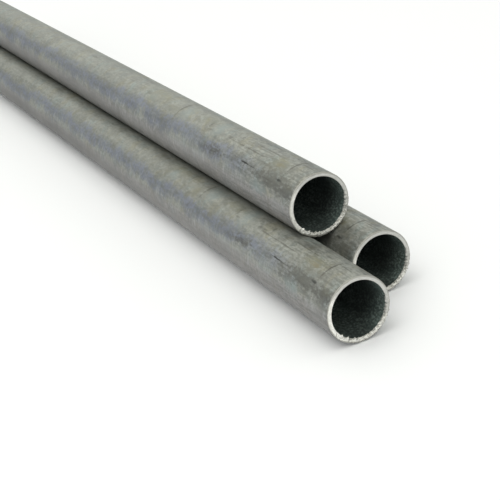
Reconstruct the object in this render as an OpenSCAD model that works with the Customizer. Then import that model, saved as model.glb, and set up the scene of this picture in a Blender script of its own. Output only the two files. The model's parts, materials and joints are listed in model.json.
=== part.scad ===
// Three galvanised steel tubes lying in a stack: two side by side on the floor
// and one in the groove between them. All three are cut to the same length and
// run along X. The cut ends at +X are staggered: the front tube stands out
// furthest, the back tube sits a little behind it, and the top tube furthest back.
// The origin is on the floor, under the middle of the whole stack.

/* [Tube] */
// Outside diameter of a tube
tube_od = 48.3; // [20:0.1:120]
// Wall thickness of a tube
tube_wall = 3.2; // [1:0.1:8]
// Cut length of a tube
tube_length = 1000; // [300:10:3000]
// Bevel around the outside edge of each cut end
edge_bevel = 0.6; // [0.1:0.1:0.9]

/* [Stack] */
// How far the back tube's cut end stands behind the front tube's
back_setback = 50; // [0:5:200]
// How far the top tube's cut end stands behind the front tube's
top_setback = 85; // [0:5:200]
// Room where two tubes rest on each other, for the lumps of their zinc coats
contact_gap = 0.2; // [0.05:0.05:0.5]

/* [Hidden] */
$fn = 128;

tube_r = tube_od / 2;
bore_r = tube_r - tube_wall;

// Two neighbours lie one pitch apart, axis to axis
pitch = tube_od + contact_gap;
// The top tube's axis is the peak of an equilateral triangle of that pitch
top_rise = pitch * sqrt(3) / 2;

// The stack reaches from the foremost near end to the rearmost far end
rearmost_setback = max(0, back_setback, top_setback);
near_end_x = (tube_length + rearmost_setback) / 2;

// Colour of dull hot-dip galvanised steel
zinc = [0.62, 0.63, 0.60];

// One half of a tube's lengthwise section, turned about its axis
module tube_section() {
    polygon([
        [bore_r, 0],
        [tube_r - edge_bevel, 0],
        [tube_r, edge_bevel],
        [tube_r, tube_length - edge_bevel],
        [tube_r - edge_bevel, tube_length],
        [bore_r, tube_length]
    ]);
}

// A tube along X whose near end is setback behind the foremost one
module tube(setback, y, axis_z) {
    color(zinc)
        translate([near_end_x - setback, y, axis_z])
            rotate([0, -90, 0])
                rotate_extrude()
                    tube_section();
}

module tube_front() {
    tube(0, -pitch / 2, tube_r);
}

module tube_back() {
    tube(back_setback, pitch / 2, tube_r);
}

module tube_top() {
    tube(top_setback, 0, tube_r + top_rise);
}

tube_front();
tube_back();
tube_top();
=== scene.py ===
import json
import math
import random

import bpy
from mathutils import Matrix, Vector


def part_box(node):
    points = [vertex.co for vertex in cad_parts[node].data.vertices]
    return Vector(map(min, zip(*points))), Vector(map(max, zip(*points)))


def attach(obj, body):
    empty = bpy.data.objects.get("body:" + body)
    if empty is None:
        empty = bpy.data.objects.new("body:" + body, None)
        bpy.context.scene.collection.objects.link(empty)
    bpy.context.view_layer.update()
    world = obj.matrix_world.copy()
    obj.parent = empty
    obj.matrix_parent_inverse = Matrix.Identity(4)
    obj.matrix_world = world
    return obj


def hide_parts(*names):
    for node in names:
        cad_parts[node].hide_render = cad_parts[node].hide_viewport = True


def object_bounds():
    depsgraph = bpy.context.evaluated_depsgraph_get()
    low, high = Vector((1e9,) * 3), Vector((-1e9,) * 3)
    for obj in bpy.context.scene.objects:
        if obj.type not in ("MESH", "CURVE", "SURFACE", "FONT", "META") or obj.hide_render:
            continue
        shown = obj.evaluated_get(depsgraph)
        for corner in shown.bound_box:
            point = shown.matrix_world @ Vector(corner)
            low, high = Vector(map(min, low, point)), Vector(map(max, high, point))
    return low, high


# Three galvanised steel tubes in a loose stack: sawn ends with burrs, dull mottled zinc, dark rough bores.
# Everything is in metres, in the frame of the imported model. +X is the end that the camera sees.

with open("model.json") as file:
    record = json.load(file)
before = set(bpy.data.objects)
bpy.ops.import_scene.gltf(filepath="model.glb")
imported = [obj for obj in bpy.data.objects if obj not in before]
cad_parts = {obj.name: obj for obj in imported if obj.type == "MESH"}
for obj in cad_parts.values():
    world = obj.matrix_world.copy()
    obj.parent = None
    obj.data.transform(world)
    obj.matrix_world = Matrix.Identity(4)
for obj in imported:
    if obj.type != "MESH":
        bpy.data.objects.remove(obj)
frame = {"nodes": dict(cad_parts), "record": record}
cadLow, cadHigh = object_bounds()
record = frame["record"]
bpy.ops.object.select_all(action="DESELECT")
print("loaded", len(frame["nodes"]), "tubes")

tubeShape = {
    "sides": 384,             # faces round the tube
    "ringSpacing": 0.02,      # rings along the plain middle
    "endRings": [0.0016, 0.003, 0.005, 0.009],   # extra rings, from each cut end
    "outerChamfer": 0.0009,   # worn edge outside the saw cut
    "innerChamfer": 0.0003,
    "cutFaceRings": 6,        # rings across the sawn face
    "waviness": 0.00012,      # how far the skin dips in long waves
    "waveSize": 0.09,
    "skinDepth": 0.001,       # what counts as skin, inwards from the outside
}

burrs = {
    "from": 112,              # degrees round from the top, over the front side
    "full": 140,
    "fullTo": 250,
    "to": 298,
    "inward": 0.0048,         # how strongly the torn edge hangs into the bore
    "inwardRest": 0.43,       # the lump height that stays where it is
    "outward": 0.0021,        # how strongly it stands out of the sawn face
    "outwardRest": 0.42,
    "outside": 0.0009,        # lumps along the outer edge
    "outsideRest": 0.62,
    "lumpSize": 0.0016,
    "jagged": 1.25,           # contrast between the teeth and the gaps
    "scatter": 0.00012,       # random spikes on top
    "lipDepth": (0.0004, 0.0022),     # where the torn lip ends, back from the cut
    "lipWidth": (0.0008, 0.0022),     # and outwards from the bore
    "edgeDepth": (0.0004, 0.0018),    # the same for the lumps along the outer edge
    "edgeWidth": (0.0016, 0.0006),    # inwards from the outside
}

sawing = {
    "steps": 0.00012,         # unevenness of the whole sawn face
    "stepSize": 0.003,
    "faceDepth": (0.0001, 0.0009),
    "bareOutside": 0.0011,    # how far bright metal shows behind the cut, on the outer half of the wall
    "bareInside": 0.0005,     # and on the inner half
    "bareTorn": 0.0009,       # more of it where the lip is torn
    "bareScatter": 0.0003,
    "bareTurn": 0.3,          # a face is bare if its normal leans this far along the tube
    "bareBelow": 0.0006,      # or if it lies this far inside the outer surface
}

# the front tube is the one that is modelled, and the others are copies of it
low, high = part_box("tube_front")
nearEnd, farEnd = high.x, low.x
axis = (low + high) / 2
outer = (high.z - low.z) / 2
bore = next(m for m in record["mounts"] if m["kind"] == "bore")["dims"]["r_mm"] / 1000


def reach(co):
    return math.hypot(co.y - axis.y, co.z - axis.z)


def angleOf(co):
    # 0 at the top, growing over the front (-Y) side, from -pi to pi
    return math.atan2(axis.y - co.y, co.z - axis.z)


def endDepth(co):
    return min(nearEnd - co.x, co.x - farEnd)


def smooth(start, end, value):
    t = min(1.0, max(0.0, (value - start) / (end - start)))
    return t * t * (3 - 2 * t)


def burrAmount(co):
    around = math.degrees(angleOf(co)) % 360
    return smooth(burrs["from"], burrs["full"], around) * (1 - smooth(burrs["fullTo"], burrs["to"], around))


def pickEdges(piece, test):
    # leaves edit mode on, with just the edges whose two ends pass the test selected
    bpy.ops.object.mode_set(mode="EDIT")
    bpy.ops.mesh.select_mode(type="EDGE")
    bpy.ops.mesh.select_all(action="DESELECT")
    bpy.ops.object.mode_set(mode="OBJECT")
    points = piece.data.vertices
    for edge in piece.data.edges:
        a, b = edge.vertices
        edge.select = test(points[a].co, points[b].co)
    bpy.ops.object.mode_set(mode="EDIT")


def modelTube():
    bpy.ops.mesh.primitive_cylinder_add(
        vertices=tubeShape["sides"], radius=outer, depth=nearEnd - farEnd,
        end_fill_type="NOTHING", location=axis, rotation=(0, math.radians(90), 0))
    tube = bpy.context.object
    bpy.ops.object.transform_apply(location=True, rotation=True, scale=True)

    # rings along it, then closer ones at both ends
    pickEdges(tube, lambda a, b: abs(a.x - b.x) > outer)
    bpy.ops.mesh.subdivide(number_cuts=round((nearEnd - farEnd) / tubeShape["ringSpacing"]) - 1)
    for step in tubeShape["endRings"]:
        for x in (nearEnd - step, farEnd + step):
            bpy.ops.mesh.select_all(action="SELECT")
            bpy.ops.mesh.bisect(plane_co=(x, 0, 0), plane_no=(1, 0, 0))
    bpy.ops.object.mode_set(mode="OBJECT")

    # the wall
    wall = tube.modifiers.new("wall", "SOLIDIFY")
    wall.thickness = outer - bore
    wall.offset = -1
    wall.use_even_offset = True
    bpy.ops.object.modifier_apply(modifier="wall")

    # both edges of the sawn faces, then rings across them
    middle = (outer + bore) / 2
    atEnd = 1e-5   # on the cut itself
    acrossWall = 0.001

    def onCut(a, b):
        return max(endDepth(a), endDepth(b)) < atEnd

    pickEdges(tube, lambda a, b: onCut(a, b) and min(reach(a), reach(b)) > middle)
    bpy.ops.mesh.bevel(offset=tubeShape["outerChamfer"], segments=3, profile=0.6)
    pickEdges(tube, lambda a, b: onCut(a, b) and max(reach(a), reach(b)) < middle)
    bpy.ops.mesh.bevel(offset=tubeShape["innerChamfer"], segments=2, profile=0.5)
    pickEdges(tube, lambda a, b: onCut(a, b) and abs(reach(a) - reach(b)) > acrossWall)
    bpy.ops.mesh.subdivide(number_cuts=tubeShape["cutFaceRings"])
    bpy.ops.object.mode_set(mode="OBJECT")
    return tube


def addGroup(piece, name, weight):
    group = piece.vertex_groups.new(name=name)
    for vertex in piece.data.vertices:
        amount = weight(vertex.co)
        if amount > 0.001:
            group.add([vertex.index], amount, "REPLACE")


def displace(piece, group, texture, strength, direction, middle):
    change = piece.modifiers.new("change", "DISPLACE")
    change.vertex_group = group
    change.texture = texture
    change.texture_coords = "LOCAL"
    change.strength = strength
    change.direction = direction
    change.mid_level = middle
    bpy.ops.object.modifier_apply(modifier="change")


def cloudTexture(name, size, depth):
    texture = bpy.data.textures.new(name, "CLOUDS")
    texture.noise_scale = size
    texture.noise_depth = depth
    return texture


def roughenTube(tube):
    def torn(co):
        # the inner edge of the cut, where the saw left a ragged lip
        depth = 1 - smooth(*burrs["lipDepth"], endDepth(co))
        return depth * (1 - smooth(*burrs["lipWidth"], reach(co) - bore)) * burrAmount(co)

    def outerTorn(co):
        depth = 1 - smooth(*burrs["edgeDepth"], endDepth(co))
        start, end = burrs["edgeWidth"]
        return depth * smooth(outer - start, outer - end, reach(co)) * burrAmount(co)

    def face(co):
        return 1 - smooth(*sawing["faceDepth"], endDepth(co))

    addGroup(tube, "skin", lambda co: 1.0 if reach(co) > outer - tubeShape["skinDepth"] else 0)
    addGroup(tube, "torn", torn)
    addGroup(tube, "outerTorn", outerTorn)
    for name, weight in (("torn", torn), ("face", face)):
        addGroup(tube, name + "Near", lambda co: weight(co) if co.x > axis.x else 0)
        addGroup(tube, name + "Far", lambda co: weight(co) if co.x < axis.x else 0)

    waves = cloudTexture("longWaves", tubeShape["waveSize"], 1)
    steps = cloudTexture("sawSteps", sawing["stepSize"], 2)
    lumps = cloudTexture("burrLumps", burrs["lumpSize"], 3)
    lumps.contrast = burrs["jagged"]
    displace(tube, "skin", waves, tubeShape["waviness"], "NORMAL", 1.0)
    displace(tube, "faceNear", steps, sawing["steps"], "X", 0.5)
    displace(tube, "faceFar", steps, -sawing["steps"], "X", 0.5)
    displace(tube, "torn", lumps, burrs["inward"], "NORMAL", burrs["inwardRest"])
    displace(tube, "tornNear", lumps, burrs["outward"], "X", burrs["outwardRest"])
    displace(tube, "tornFar", lumps, -burrs["outward"], "X", burrs["outwardRest"])
    displace(tube, "outerTorn", lumps, burrs["outside"], "NORMAL", burrs["outsideRest"])

    # loose spikes on the torn lip
    bpy.ops.object.mode_set(mode="EDIT")
    bpy.ops.mesh.select_mode(type="VERT")
    bpy.ops.mesh.select_all(action="DESELECT")
    bpy.ops.object.mode_set(mode="OBJECT")
    for vertex in tube.data.vertices:
        vertex.select = torn(vertex.co) > 0.5
    bpy.ops.object.mode_set(mode="EDIT")
    bpy.ops.transform.vertex_random(offset=burrs["scatter"], uniform=0.0, normal=0.0, seed=3)
    bpy.ops.object.mode_set(mode="OBJECT")


def mapTube(tube):
    # UV: metres round from the top (over the front), metres back from the near end
    layer = tube.data.uv_layers.new(name="tubePlace")
    points = tube.data.vertices
    for face in tube.data.polygons:
        angles = [angleOf(points[i].co) for i in face.vertices]
        if max(angles) - min(angles) > math.pi:
            angles = [a + 2 * math.pi if a < 0 else a for a in angles]
        for loop, index, angle in zip(face.loop_indices, face.vertices, angles):
            layer.data[loop].uv = (angle * outer, nearEnd - points[index].co.x)
    # how deep in the wall a point lies: 0 at the bore, 1 at the outside
    depth = tube.data.attributes.new("wallDepth", "FLOAT", "POINT")
    for point in points:
        depth.data[point.index].value = (reach(point.co) - bore) / (outer - bore)


def paintTube(tube, finishes):
    skin, cut, inside = range(3)
    for finish in finishes:
        tube.data.materials.append(finish)
    dice = random.Random(5)
    for face in tube.data.polygons:
        away = reach(face.center)
        inner = away < (outer + bore) / 2
        bare = sawing["bareOutside"]
        if inner:
            bare = sawing["bareInside"] + sawing["bareTorn"] * burrAmount(face.center)
            bare += dice.uniform(-sawing["bareScatter"], sawing["bareScatter"])
        offSkin = abs(face.normal.x) > sawing["bareTurn"] or away < outer - sawing["bareBelow"]
        if endDepth(face.center) < bare and offSkin:
            face.material_index = cut
        else:
            face.material_index = inside if inner else skin
        face.use_smooth = True


def putNode(tree, kind, **settings):
    node = tree.nodes.new(kind)
    for key, value in settings.items():
        setattr(node, key, value)
    return node


def feed(tree, target, source):
    # source is another node's output, or a plain number, vector or colour
    if isinstance(source, bpy.types.NodeSocket):
        tree.links.new(source, target)
    else:
        target.default_value = source


def calc(tree, operation, a, b=None, c=None, clamp=False):
    node = putNode(tree, "ShaderNodeMath", operation=operation, use_clamp=clamp)
    for target, source in zip(node.inputs, (a, b, c)):
        if source is not None:
            feed(tree, target, source)
    return node.outputs[0]


def total(tree, *shares):
    # weighted sum of (value, weight) pairs
    result = calc(tree, "MULTIPLY", *shares[0])
    for value, weight in shares[1:]:
        result = calc(tree, "MULTIPLY_ADD", value, weight, result)
    return result


def blendColour(tree, amount, a, b, mode="MIX"):
    node = putNode(tree, "ShaderNodeMix", data_type="RGBA", blend_type=mode)
    feed(tree, node.inputs["Factor"], amount)
    # 6 and 7 are the two colours of this node, and 2 is the mixed one
    feed(tree, node.inputs[6], a)
    feed(tree, node.inputs[7], b)
    return node.outputs[2]


def spread(tree, value, low, high, newLow=0.0, newHigh=1.0):
    node = putNode(tree, "ShaderNodeMapRange", interpolation_type="SMOOTHSTEP")
    for target, source in zip(node.inputs, (value, low, high, newLow, newHigh)):
        feed(tree, target, source)
    return node.outputs[0]


def swing(tree, value):
    # a pattern as what it is above or below its middle
    return calc(tree, "SUBTRACT", value, 0.5)


def times(tree, first, *others):
    for other in others:
        first = calc(tree, "MULTIPLY", first, other)
    return first


def zone(tree, value, rise, fall):
    # 1 between two soft edges, each given as (start, end)
    return times(tree, spread(tree, value, *rise), spread(tree, value, *fall, 1.0, 0.0))


def newGroup(name, takes, gives):
    group = bpy.data.node_groups.new(name, "ShaderNodeTree")
    for socketName, kind, value in takes:
        socket = group.interface.new_socket(socketName, in_out="INPUT", socket_type=kind)
        if value is not None:
            socket.default_value = value
    for socketName, kind in gives:
        group.interface.new_socket(socketName, in_out="OUTPUT", socket_type=kind)
    start = group.nodes.new("NodeGroupInput")
    end = group.nodes.new("NodeGroupOutput")
    return group, start, end


def buildMottle():
    # stretched noise as a value round 0.5
    group, start, end = newGroup("mottle", [
        ("Vector", "NodeSocketVector", None), ("Stretch", "NodeSocketVector", (1, 1, 1)),
        ("Size", "NodeSocketFloat", 0.01), ("Detail", "NodeSocketFloat", 3.0),
        ("Distortion", "NodeSocketFloat", 0.0), ("Contrast", "NodeSocketFloat", 1.0)],
        [("Value", "NodeSocketFloat")])
    stretched = putNode(group, "ShaderNodeVectorMath", operation="MULTIPLY")
    group.links.new(start.outputs["Vector"], stretched.inputs[0])
    group.links.new(start.outputs["Stretch"], stretched.inputs[1])
    noise = putNode(group, "ShaderNodeTexNoise")
    group.links.new(stretched.outputs[0], noise.inputs["Vector"])
    feed(group, noise.inputs["Scale"], calc(group, "DIVIDE", 1.0, start.outputs["Size"]))
    group.links.new(start.outputs["Detail"], noise.inputs["Detail"])
    group.links.new(start.outputs["Distortion"], noise.inputs["Distortion"])
    noise.inputs["Roughness"].default_value = 0.55
    centred = calc(group, "SUBTRACT", noise.outputs["Fac"], 0.5)
    value = calc(group, "MULTIPLY_ADD", centred, start.outputs["Contrast"], 0.5, clamp=True)
    feed(group, end.inputs["Value"], value)
    return group


def buildMark():
    # a soft-edged, slightly ragged oval at one place of the tube's own map
    group, start, end = newGroup("mark", [
        ("Place", "NodeSocketVector", None), ("Ragged", "NodeSocketFloat", 0.0),
        ("Centre", "NodeSocketVector", (0, 0, 0)), ("Half Size", "NodeSocketVector", (0.002, 0.01, 1)),
        ("Softness", "NodeSocketFloat", 0.5)],
        [("Mask", "NodeSocketFloat")])
    offset = putNode(group, "ShaderNodeVectorMath", operation="SUBTRACT")
    group.links.new(start.outputs["Place"], offset.inputs[0])
    group.links.new(start.outputs["Centre"], offset.inputs[1])
    scaled = putNode(group, "ShaderNodeVectorMath", operation="DIVIDE")
    group.links.new(offset.outputs[0], scaled.inputs[0])
    group.links.new(start.outputs["Half Size"], scaled.inputs[1])
    away = putNode(group, "ShaderNodeVectorMath", operation="LENGTH")
    group.links.new(scaled.outputs[0], away.inputs[0])
    edge = calc(group, "ADD", away.outputs["Value"], start.outputs["Ragged"])
    inside = calc(group, "SUBTRACT", 1.0, start.outputs["Softness"])
    outside = calc(group, "ADD", 1.0, start.outputs["Softness"])
    feed(group, end.inputs["Mask"], spread(group, edge, inside, outside, 1.0, 0.0))
    return group


groups = {"mottle": buildMottle(), "mark": buildMark()}


def mottle(tree, vector, size, stretch=(1, 1, 1), detail=3.0, distortion=0.0, contrast=1.0):
    node = putNode(tree, "ShaderNodeGroup", node_tree=groups["mottle"])
    settings = {"Vector": vector, "Stretch": stretch, "Size": size, "Detail": detail,
                "Distortion": distortion, "Contrast": contrast}
    for name, value in settings.items():
        feed(tree, node.inputs[name], value)
    return node.outputs["Value"]


def newFinish(name, metallic, roughness):
    material = bpy.data.materials.new(name)
    material.use_nodes = True
    tree = material.node_tree
    shader = tree.nodes["Principled BSDF"]
    shader.inputs["Metallic"].default_value = metallic
    shader.inputs["Roughness"].default_value = roughness
    return material, tree, shader


def tubePlace(tree):
    # metres round from the top, metres back from the near end, and both as one vector
    place = putNode(tree, "ShaderNodeUVMap", uv_map="tubePlace").outputs[0]
    split = putNode(tree, "ShaderNodeSeparateXYZ")
    feed(tree, split.inputs[0], place)
    return split.outputs[0], split.outputs[1], place


def addBump(tree, shader, height, strength, distance):
    bump = putNode(tree, "ShaderNodeBump")
    bump.inputs["Strength"].default_value = strength
    bump.inputs["Distance"].default_value = distance
    feed(tree, bump.inputs["Height"], height)
    feed(tree, shader.inputs["Normal"], bump.outputs[0])


zinc = {
    "colour": (0.285, 0.292, 0.262, 1),
    "warm": (0.270, 0.262, 0.200, 1),
    "cool": (0.258, 0.300, 0.287, 1),
    "paintedLowerTint": (0.284, 0.269, 0.273, 1),    # painted light: the tint that the light gives the front side below the stripe, which also makes it plainer
    "reflectionBand": (0.213, 0.229, 0.272, 1),     # painted reflection: a bluish stripe along the front side
    "speck": (0.112, 0.112, 0.100, 1),
    "drip": (0.390, 0.405, 0.400, 1),     # pale runs just below the stripe
    "bandFrom": 39,                       # degrees round from the top
    "bandTo": 66,
    "bandMiddle": -0.01,                  # the two stripes mirror each other about this line, metres round
    "bandDrift": 0.003,                   # how far they drift down the side, for each metre along
    "bandWander": (0.026, 0.016),         # how far the clouds and the smears push their edges
    "bandUpperEdge": (-0.003, 0.004),
    "bandLowerEdge": (-0.004, 0.004),
    "metallic": 0.55,
    "roughness": (0.42, 0.62),
    "shade": (0.70, 1.28),                # darkest and lightest, times the colour
    "bump": 0.0004,
}

# where things lie on the skin, each as the (start, end) of a soft edge, in metres
skinPlaces = {
    "lowerFrom": (0.030, 0.036),          # round from the top
    # the next two bound the front flank, where shade is painted
    "flankFrom": (0.027, 0.042),
    "flankTo": (0.058, 0.074),
    "dripsFrom": (0.024, 0.029),
    "dripsTo": (0.034, 0.041),
    "smearsFrom": (0.012, 0.026),
    "bandStarts": (0.03, 0.13),           # back from the near end
    "linesFade": (0.05, 0.16),
    "grainFades": (0.06, 0.20),
    # how the painted shade on the front flank grows further back
    "flankShadeGrows": (0.20, 0.60),
    "dripsEnd": (0.28, 0.42),
    "specksFade": (0.05, 0.15),
}

skinPatterns = {
    "clouds": {"size": 0.026, "stretch": (0.6, 1, 1), "distortion": 0.6},
    "tint": {"size": 0.014, "stretch": (1.1, 0.7, 0.7), "distortion": 0.9, "contrast": 1.5},
    "blotches": {"size": 0.0055, "stretch": (0.6, 1, 1), "detail": 4, "distortion": 0.8},
    "smears": {"size": 0.0045, "stretch": (1.0, 0.4, 0.4), "detail": 4, "distortion": 1.6},
    "drawLines": {"size": 0.0018, "stretch": (0.05, 1, 1)},
    "grain": {"size": 0.0020, "stretch": (0.5, 1, 1), "detail": 4},
    "specks": {"size": 0.0011, "stretch": (0.45, 1, 1), "detail": 2, "contrast": 1.7},
}

# marks on the skin, each (degrees round from the top, mm back from the near end,
# half width round in mm, half length along in mm, strength)
marks = {
    "pale": {"colour": (0.390, 0.405, 0.400, 1), "soft": 1.0, "ragged": 1.3, "patchy": True, "at": [
        (76, 120, 3.5, 15.0, 0.35), (79, 84, 4.0, 10.0, 0.30), (76, 158, 4.0, 12.0, 0.40),
        (75, 195, 3.5, 15.0, 0.35), (79, 20, 6.0, 8.0, 0.30), (65, 99, 1.5, 5.0, 0.40)]},
    "grime": {"colour": (0.112, 0.112, 0.100, 1), "soft": 0.8, "ragged": 1.0, "patchy": True, "at": [
        (53, 40, 4.6, 15.5, 1.0), (56, 10, 4.6, 8.5, 1.0), (55, 130, 2.8, 10.0, 1.0),
        (62, 148, 2.0, 9.0, 0.55), (50, 92, 3.0, 10.0, 0.25), (17, 288, 1.6, 5.0, 0.50),
        (1, 445, 1.6, 7.0, 0.55), (32, 650, 1.0, 50.0, 0.30), (14, 186, 2.0, 5.0, 0.30),
        (8, 162, 3.5, 2.5, 0.45)]},
    "olive": {"colour": (0.245, 0.240, 0.160, 1), "soft": 0.9, "ragged": 0.9, "patchy": True, "at": [
        (16, 40, 5.0, 9.5, 0.95), (5, 168, 5.0, 14.0, 0.40), (5, 270, 6.0, 22.0, 0.45),
        (22, 232, 4.0, 10.0, 0.30), (48, 8, 2.0, 4.0, 0.25)]},
    "soot": {"colour": (0.175, 0.175, 0.148, 1), "soft": 1.6, "ragged": 0.8, "patchy": False, "at": [
        (37, 36, 7.0, 21.0, 0.60), (60, 38, 4.5, 18.0, 0.30)]},
    "cyan": {"colour": (0.262, 0.320, 0.320, 1), "soft": 0.9, "ragged": 0.7, "patchy": False, "at": [
        (10, 145, 9.0, 6.0, 0.45), (12, 206, 7.0, 7.0, 0.40), (22, 278, 4.0, 6.0, 0.35),
        (74, 50, 4.0, 9.0, 0.45)]},
    "rust": {"colour": (0.235, 0.200, 0.115, 1), "soft": 1.0, "ragged": 0.7, "patchy": True, "at": [
        (20, 38, 1.5, 4.5, 0.50)]},
    "cut": {"colour": (0.035, 0.036, 0.034, 1), "soft": 0.7, "ragged": 0.6, "patchy": False, "at": [
        (44.5, 26, 0.9, 3.0, 0.75), (47, 80, 0.55, 6.0, 0.95), (47.5, 68, 0.35, 6.0, 0.60)]},
    "scribe": {"colour": (0.090, 0.085, 0.068, 1), "soft": 0.8, "ragged": 0.5, "patchy": False, "at": [
        (8, 24, 9.5, 0.8, 0.75), (-4, 24.2, 5.0, 0.6, 0.45), (-6, 15, 0.35, 7.0, 0.50),
        (8, 219.5, 9.0, 1.3, 0.55), (5, 252, 6.0, 1.0, 0.20), (0, 312, 6.0, 1.2, 0.20),
        (4, 109, 2.4, 1.0, 0.55), (14, 161, 2.4, 1.1, 0.45), (20.5, 78, 0.5, 14.0, 0.60),
        (21, 107, 0.5, 12.0, 0.50), (17, 121, 0.9, 6.0, 0.40), (2.5, 67, 0.4, 17.0, 0.55),
        (24, 155, 0.6, 4.0, 0.40), (34, 140, 1.8, 1.6, 0.30)]},
}


def paintedReflectionStripe(tree, around, back, clouds, smears, blotches):
    # painted reflection: a bluish stripe, ragged on both edges and fading towards the near end, with a
    # second one on the back side
    upperEdge = [math.radians(zinc["bandFrom"]) * outer + step for step in zinc["bandUpperEdge"]]
    lowerEdge = [math.radians(zinc["bandTo"]) * outer + step for step in zinc["bandLowerEdge"]]
    middle = zinc["bandMiddle"]
    cloudWander, smearWander = zinc["bandWander"]
    downSides = calc(tree, "ABSOLUTE", calc(tree, "SUBTRACT", around, middle))
    shifted = total(tree, (downSides, 1.0), (middle, 1.0), (swing(tree, clouds), cloudWander),
                    (swing(tree, smears), smearWander), (back, -zinc["bandDrift"]))
    reflectionBand = zone(tree, shifted, upperEdge, lowerEdge)
    return times(tree, reflectionBand, spread(tree, back, *skinPlaces["bandStarts"], 0.2, 0.9),
                 spread(tree, blotches, 0.36, 0.62, 0.45, 1.0))


def skinLevel(tree, around, back, clouds, smears, blotches, drawLines, grain):
    # light and dark: blotches everywhere, smears down the sides, drawn lines strongest near the end, and
    # painted shade on the front flank
    lines = times(tree, swing(tree, drawLines), spread(tree, back, *skinPlaces["linesFade"], 0.6, 0.15))
    onSides = spread(tree, calc(tree, "ABSOLUTE", around), *skinPlaces["smearsFrom"], 0.25, 0.8)
    sides = times(tree, swing(tree, smears), onSides)
    fine = times(tree, swing(tree, grain), spread(tree, back, *skinPlaces["grainFades"], 1.15, 0.6))
    shade = total(tree, (clouds, 0.45), (blotches, 0.75), (fine, 1.0), (lines, 1.35), (sides, 0.9))
    level = spread(tree, shade, 0.285, 0.915, *zinc["shade"])
    # painted shade: the front flank is darkened, and the more so further back
    flank = zone(tree, around, skinPlaces["flankFrom"], skinPlaces["flankTo"])
    flankShade = times(tree, flank, spread(tree, back, *skinPlaces["flankShadeGrows"], 0.2, 0.45))
    return times(tree, level, calc(tree, "SUBTRACT", 1.0, flankShade))


def addMarks(tree, colour, place, ragged, patchy):
    for kind in marks.values():
        edge = calc(tree, "MULTIPLY", ragged, kind["ragged"])
        for degrees, mm, width, length, strength in kind["at"]:
            shape = putNode(tree, "ShaderNodeGroup", node_tree=groups["mark"])
            feed(tree, shape.inputs["Place"], place)
            feed(tree, shape.inputs["Ragged"], edge)
            feed(tree, shape.inputs["Centre"], (math.radians(degrees) * outer, mm / 1000, 0))
            feed(tree, shape.inputs["Half Size"], (width / 1000, length / 1000, 1))
            feed(tree, shape.inputs["Softness"], kind["soft"])
            amount = calc(tree, "MULTIPLY", shape.outputs["Mask"], strength)
            if kind["patchy"]:
                amount = calc(tree, "MULTIPLY", amount, patchy)
            colour = blendColour(tree, amount, colour, kind["colour"])
    return colour


def zincFinish():
    material, tree, shader = newFinish("dullZinc", zinc["metallic"], 0.5)
    coords = putNode(tree, "ShaderNodeTexCoord").outputs["Object"]
    around, back, place = tubePlace(tree)
    patterns = {name: mottle(tree, coords, **look) for name, look in skinPatterns.items()}
    clouds, tint, blotches, smears, drawLines, grain, specks = patterns.values()

    colour = blendColour(tree, spread(tree, tint, 0.52, 0.80, 0.0, 0.65), zinc["colour"], zinc["warm"])
    colour = blendColour(tree, spread(tree, tint, 0.46, 0.20, 0.0, 0.55), colour, zinc["cool"])
    # painted reflection: the bluish stripe down the sides
    reflectionBand = paintedReflectionStripe(tree, around, back, clouds, smears, blotches)
    colour = blendColour(tree, reflectionBand, colour, zinc["reflectionBand"])
    # painted light: the front side below the stripe is given the tint of the light that falls on it
    paintedLowerTint = spread(tree, around, *skinPlaces["lowerFrom"], 0.0, 0.6)
    colour = blendColour(tree, paintedLowerTint, colour, zinc["paintedLowerTint"])
    level = skinLevel(tree, around, back, clouds, smears, blotches, drawLines, grain)
    colour = blendColour(tree, 1.0, colour, level, mode="MULTIPLY")

    runs = zone(tree, around, skinPlaces["dripsFrom"], skinPlaces["dripsTo"])
    drips = times(tree, spread(tree, smears, 0.54, 0.70), runs,
                  spread(tree, back, *skinPlaces["dripsEnd"], 0.5, 0.0))
    colour = blendColour(tree, drips, colour, zinc["drip"])

    # small dark specks, most of them in the hand's breadth behind the cut
    specked = times(tree, spread(tree, specks, 0.66, 0.90),
                    spread(tree, back, *skinPlaces["specksFade"], 0.8, 0.15))
    colour = blendColour(tree, specked, colour, zinc["speck"])

    ragged = total(tree, (swing(tree, blotches), 3.0), (swing(tree, grain), 3.0))
    patchy = spread(tree, total(tree, (blotches, 0.5), (drawLines, 0.5)), 0.36, 0.60, 0.35, 1.0)
    feed(tree, shader.inputs["Base Color"], addMarks(tree, colour, place, ragged, patchy))

    rough = total(tree, (smears, 0.3), (blotches, 0.4), (grain, 0.3))
    feed(tree, shader.inputs["Roughness"], spread(tree, rough, 0.35, 0.65, *zinc["roughness"]))
    height = total(tree, (blotches, 0.7), (smears, 0.3), (grain, 0.12), (drawLines, 0.12))
    addBump(tree, shader, height, 0.35, zinc["bump"])
    return material


sawnSteel = {
    "dark": (0.70, 0.69, 0.63, 1),
    "light": (0.97, 0.96, 0.90, 1),
    "smoothCut": (0.50, 0.50, 0.47, 1),   # over the top and the back side
    "edge": (0.37, 0.36, 0.32, 1),
    "nick": (0.15, 0.14, 0.12, 1),
    "smoothMiddle": -0.014,               # metres round from the top
    "smoothEnds": (0.028, 0.042),         # metres to both sides of that
    "tornFrom": (0.038, 0.052),           # metres round from the top, both ways
    "underneath": (0.056, 0.064),
    "bump": 0.0002,
}


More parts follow.
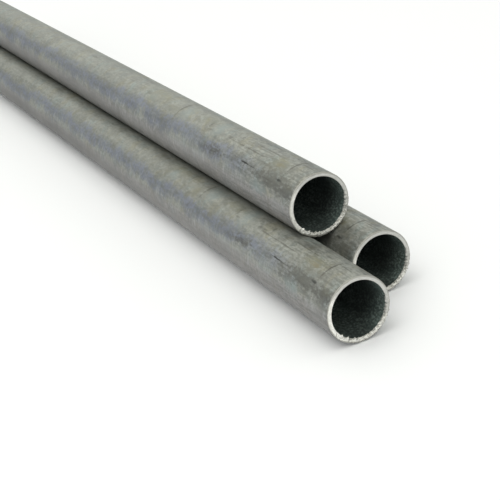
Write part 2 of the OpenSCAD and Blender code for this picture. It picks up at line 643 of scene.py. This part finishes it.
def cutFinish():
    material, tree, shader = newFinish("sawnSteel", 0.3, 0.45)
    coords = putNode(tree, "ShaderNodeTexCoord").outputs["Object"]
    depth = putNode(tree, "ShaderNodeAttribute", attribute_name="wallDepth").outputs["Fac"]
    patches = mottle(tree, coords, 0.0046, contrast=1.5)
    sawLines = mottle(tree, coords, 0.0006, stretch=(1, 1, 0.08), detail=2)
    nicks = mottle(tree, coords, 0.0017, detail=2, contrast=2.0)
    shade = total(tree, (patches, 0.7), (sawLines, 0.3))
    around = tubePlace(tree)[0]
    fromTop = calc(tree, "ABSOLUTE", around)
    fromMiddle = calc(tree, "ABSOLUTE", calc(tree, "SUBTRACT", around, sawnSteel["smoothMiddle"]))

    colour = blendColour(tree, spread(tree, shade, 0.25, 0.65), sawnSteel["dark"], sawnSteel["light"])
    grey = spread(tree, fromMiddle, *sawnSteel["smoothEnds"], 0.75, 0.0)
    colour = blendColour(tree, grey, colour, sawnSteel["smoothCut"])
    # the outer edge is dull, and most of all underneath
    underneath = spread(tree, fromTop, *sawnSteel["underneath"])
    edge = total(tree, (depth, 1.0), (swing(tree, patches), 0.40), (grey, 0.18), (underneath, 0.26))
    colour = blendColour(tree, spread(tree, edge, 0.72, 0.90, 0.0, 0.85), colour, sawnSteel["edge"])
    # nicks, far more of them where the edge is torn
    torn = spread(tree, fromTop, *sawnSteel["tornFrom"])
    nicked = times(tree, spread(tree, nicks, 0.54, 0.80), calc(tree, "MULTIPLY_ADD", torn, 0.45, 0.10))
    colour = blendColour(tree, nicked, colour, sawnSteel["nick"])
    feed(tree, shader.inputs["Base Color"], colour)
    addBump(tree, shader, shade, 0.2, sawnSteel["bump"])
    return material


rawBore = {
    "dark": (0.036, 0.049, 0.044, 1),
    "light": (0.150, 0.184, 0.168, 1),
    "stain": (0.032, 0.046, 0.042, 1),
    "bottom": (0.058, 0.070),             # metres round from the top, both ways
    # the painted light at both mouths fades over this span
    "mouthPaintedLight": (0.0, 0.027),                # metres in from the nearer end
    "dust": (0.005, 0.020),
    "deepPaintedLight": (0.030, 0.060),
    "bump": 0.0005,
}


def boreFinish():
    material, tree, shader = newFinish("rawBore", 0.1, 0.7)
    coords = putNode(tree, "ShaderNodeTexCoord").outputs["Object"]
    specks = mottle(tree, coords, 0.0015, stretch=(0.7, 1, 1), detail=4, contrast=1.5)
    patches = mottle(tree, coords, 0.010, stretch=(0.5, 1, 1))
    colour = blendColour(tree, spread(tree, specks, 0.35, 0.85), rawBore["dark"], rawBore["light"])
    colour = blendColour(tree, spread(tree, patches, 0.4, 0.7, 0.0, 0.5), colour, rawBore["stain"])
    # painted light and shade: paler at both mouths and darker further in, and an even grey strip of dust
    # along the bottom
    around, back = tubePlace(tree)[:2]
    depth = calc(tree, "MINIMUM", back, calc(tree, "SUBTRACT", nearEnd - farEnd, back))
    bottom = spread(tree, calc(tree, "ABSOLUTE", around), *rawBore["bottom"])
    mouthPaintedLight = spread(tree, depth, *rawBore["mouthPaintedLight"], 2.2, 0.55)
    dust = spread(tree, depth, *rawBore["dust"], 0.85, 1.2)
    level = total(tree, (mouthPaintedLight, calc(tree, "SUBTRACT", 1.0, bottom)), (dust, bottom))
    colour = blendColour(tree, 1.0, colour, level, mode="MULTIPLY")
    # painted light: past the opening, where the light that comes in is weak, the wall is painted a little
    # paler
    deepPaintedLight = spread(tree, depth, *rawBore["deepPaintedLight"], 1.0, 2.0)
    colour = blendColour(tree, 1.0, colour, deepPaintedLight, mode="MULTIPLY")
    feed(tree, shader.inputs["Base Color"], colour)
    addBump(tree, shader, specks, 0.6, rawBore["bump"])
    return material


finishes = [zincFinish(), cutFinish(), boreFinish()]
print("finishes made")

original = modelTube()
roughenTube(original)
mapTube(original)
paintTube(original, finishes)
print("tube modelled,", len(original.data.polygons), "faces")

# copied first and told what they stand for afterwards, because a copy would carry that along
tubes = {"tube_front": original}
for node in ("tube_back", "tube_top"):
    low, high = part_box(node)
    bpy.ops.object.select_all(action="DESELECT")
    original.select_set(True)
    bpy.context.view_layer.objects.active = original
    bpy.ops.object.duplicate()
    tubes[node] = bpy.context.object
    bpy.ops.transform.translate(value=(low + high) / 2 - axis)
    bpy.ops.object.transform_apply(location=True)
bpy.ops.object.select_all(action="DESELECT")

for node, tube in tubes.items():
    tube.name = "zinc_" + node
    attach(tube, "root")
    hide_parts(node)
    print(tube.name, "placed")

studio = {
    "floorSize": 30.0,
    "floorColour": (0.93, 0.932, 0.95, 1),
    "backdrop": (0.92, 0.92, 0.92, 1),
    "horizon": (0.16, 0.19, 0.25, 1),
    "overhead": (0.93, 0.94, 0.89, 1),
    "skyBlend": (0.10, 0.50),   # heights between which the sky turns from horizon to overhead
}

softboxes = {
    "keyLight": {"location": (0.5, -0.8, 2.2), "target": (0.2, 0, 0), "size": 1.8,
                 "power": 15.0, "colour": (1.0, 1.0, 0.965)},
    "rearLight": {"location": (-2.2, 0.6, 1.6), "target": (0.2, 0, 0), "size": 2.2,
                  "power": 7.0, "colour": (1.0, 1.0, 0.97)},
    "fillLight": {"location": (2.4, -0.9, 0.9), "target": (0.4, 0, 0.05), "size": 1.4,
                  "power": 4.0, "colour": (1.0, 1.0, 0.98)},
}

bpy.ops.mesh.primitive_plane_add(size=studio["floorSize"], location=(0, 0, cadLow.z))
floor = bpy.context.object
floor.name = "floor"
floorFinish, _, floorShader = newFinish("paleFloor", 0.0, 0.8)
floorShader.inputs["Base Color"].default_value = studio["floorColour"]
floorShader.inputs["Specular IOR Level"].default_value = 0.2
floor.data.materials.append(floorFinish)


def addSoftbox(name, location, target, size, power, colour):
    bpy.ops.object.light_add(type="AREA", location=location)
    light = bpy.context.object
    light.name = name
    light.data.shape = "SQUARE"
    light.data.size = size
    light.data.energy = power
    light.data.color = colour
    light.rotation_euler = (Vector(target) - Vector(location)).to_track_quat("-Z", "Y").to_euler()


for name, box in softboxes.items():
    addSoftbox(name, **box)

world = bpy.data.worlds.new("studioAir")
bpy.context.scene.world = world
world.use_nodes = True
air = world.node_tree
direction = putNode(air, "ShaderNodeSeparateXYZ")
air.links.new(putNode(air, "ShaderNodeTexCoord").outputs["Generated"], direction.inputs[0])
height = spread(air, direction.outputs[2], *studio["skyBlend"])
glow = blendColour(air, height, studio["horizon"], studio["overhead"])
# the light comes from a soft sky, and what is seen behind the floor is a plain pale backdrop
seen = putNode(air, "ShaderNodeLightPath").outputs["Is Camera Ray"]
feed(air, air.nodes["Background"].inputs["Color"], blendColour(air, seen, glow, studio["backdrop"]))

cameraSetup = {
    "lens": 94.9,
    "azimuth": 67.4,          # degrees, 0 looks along +Y and 90 along -X
    "elevation": 24.2,
    "roll": -9.83,
    "distance": 0.9986,
    "aim": Vector((-0.1516, -0.0066, -0.0056)),   # from the middle of the front tube's near end
}

aim = Vector((nearEnd, axis.y, axis.z)) + cameraSetup["aim"]
turn = math.radians(cameraSetup["azimuth"])
lift = math.radians(cameraSetup["elevation"])
away = Vector((math.sin(turn) * math.cos(lift), -math.cos(turn) * math.cos(lift), math.sin(lift)))
bpy.ops.object.camera_add(location=aim + away * cameraSetup["distance"])
camera = bpy.context.object
camera.name = "camera"
camera.data.lens = cameraSetup["lens"]
camera.data.sensor_width = 36
camera.rotation_euler = (-away).to_track_quat("-Z", "Y").to_euler()
camera.rotation_euler.rotate_axis("Z", math.radians(cameraSetup["roll"]))
bpy.context.scene.camera = camera
bpy.context.scene.view_settings.view_transform = "Standard"
print("floor, lights and camera set")
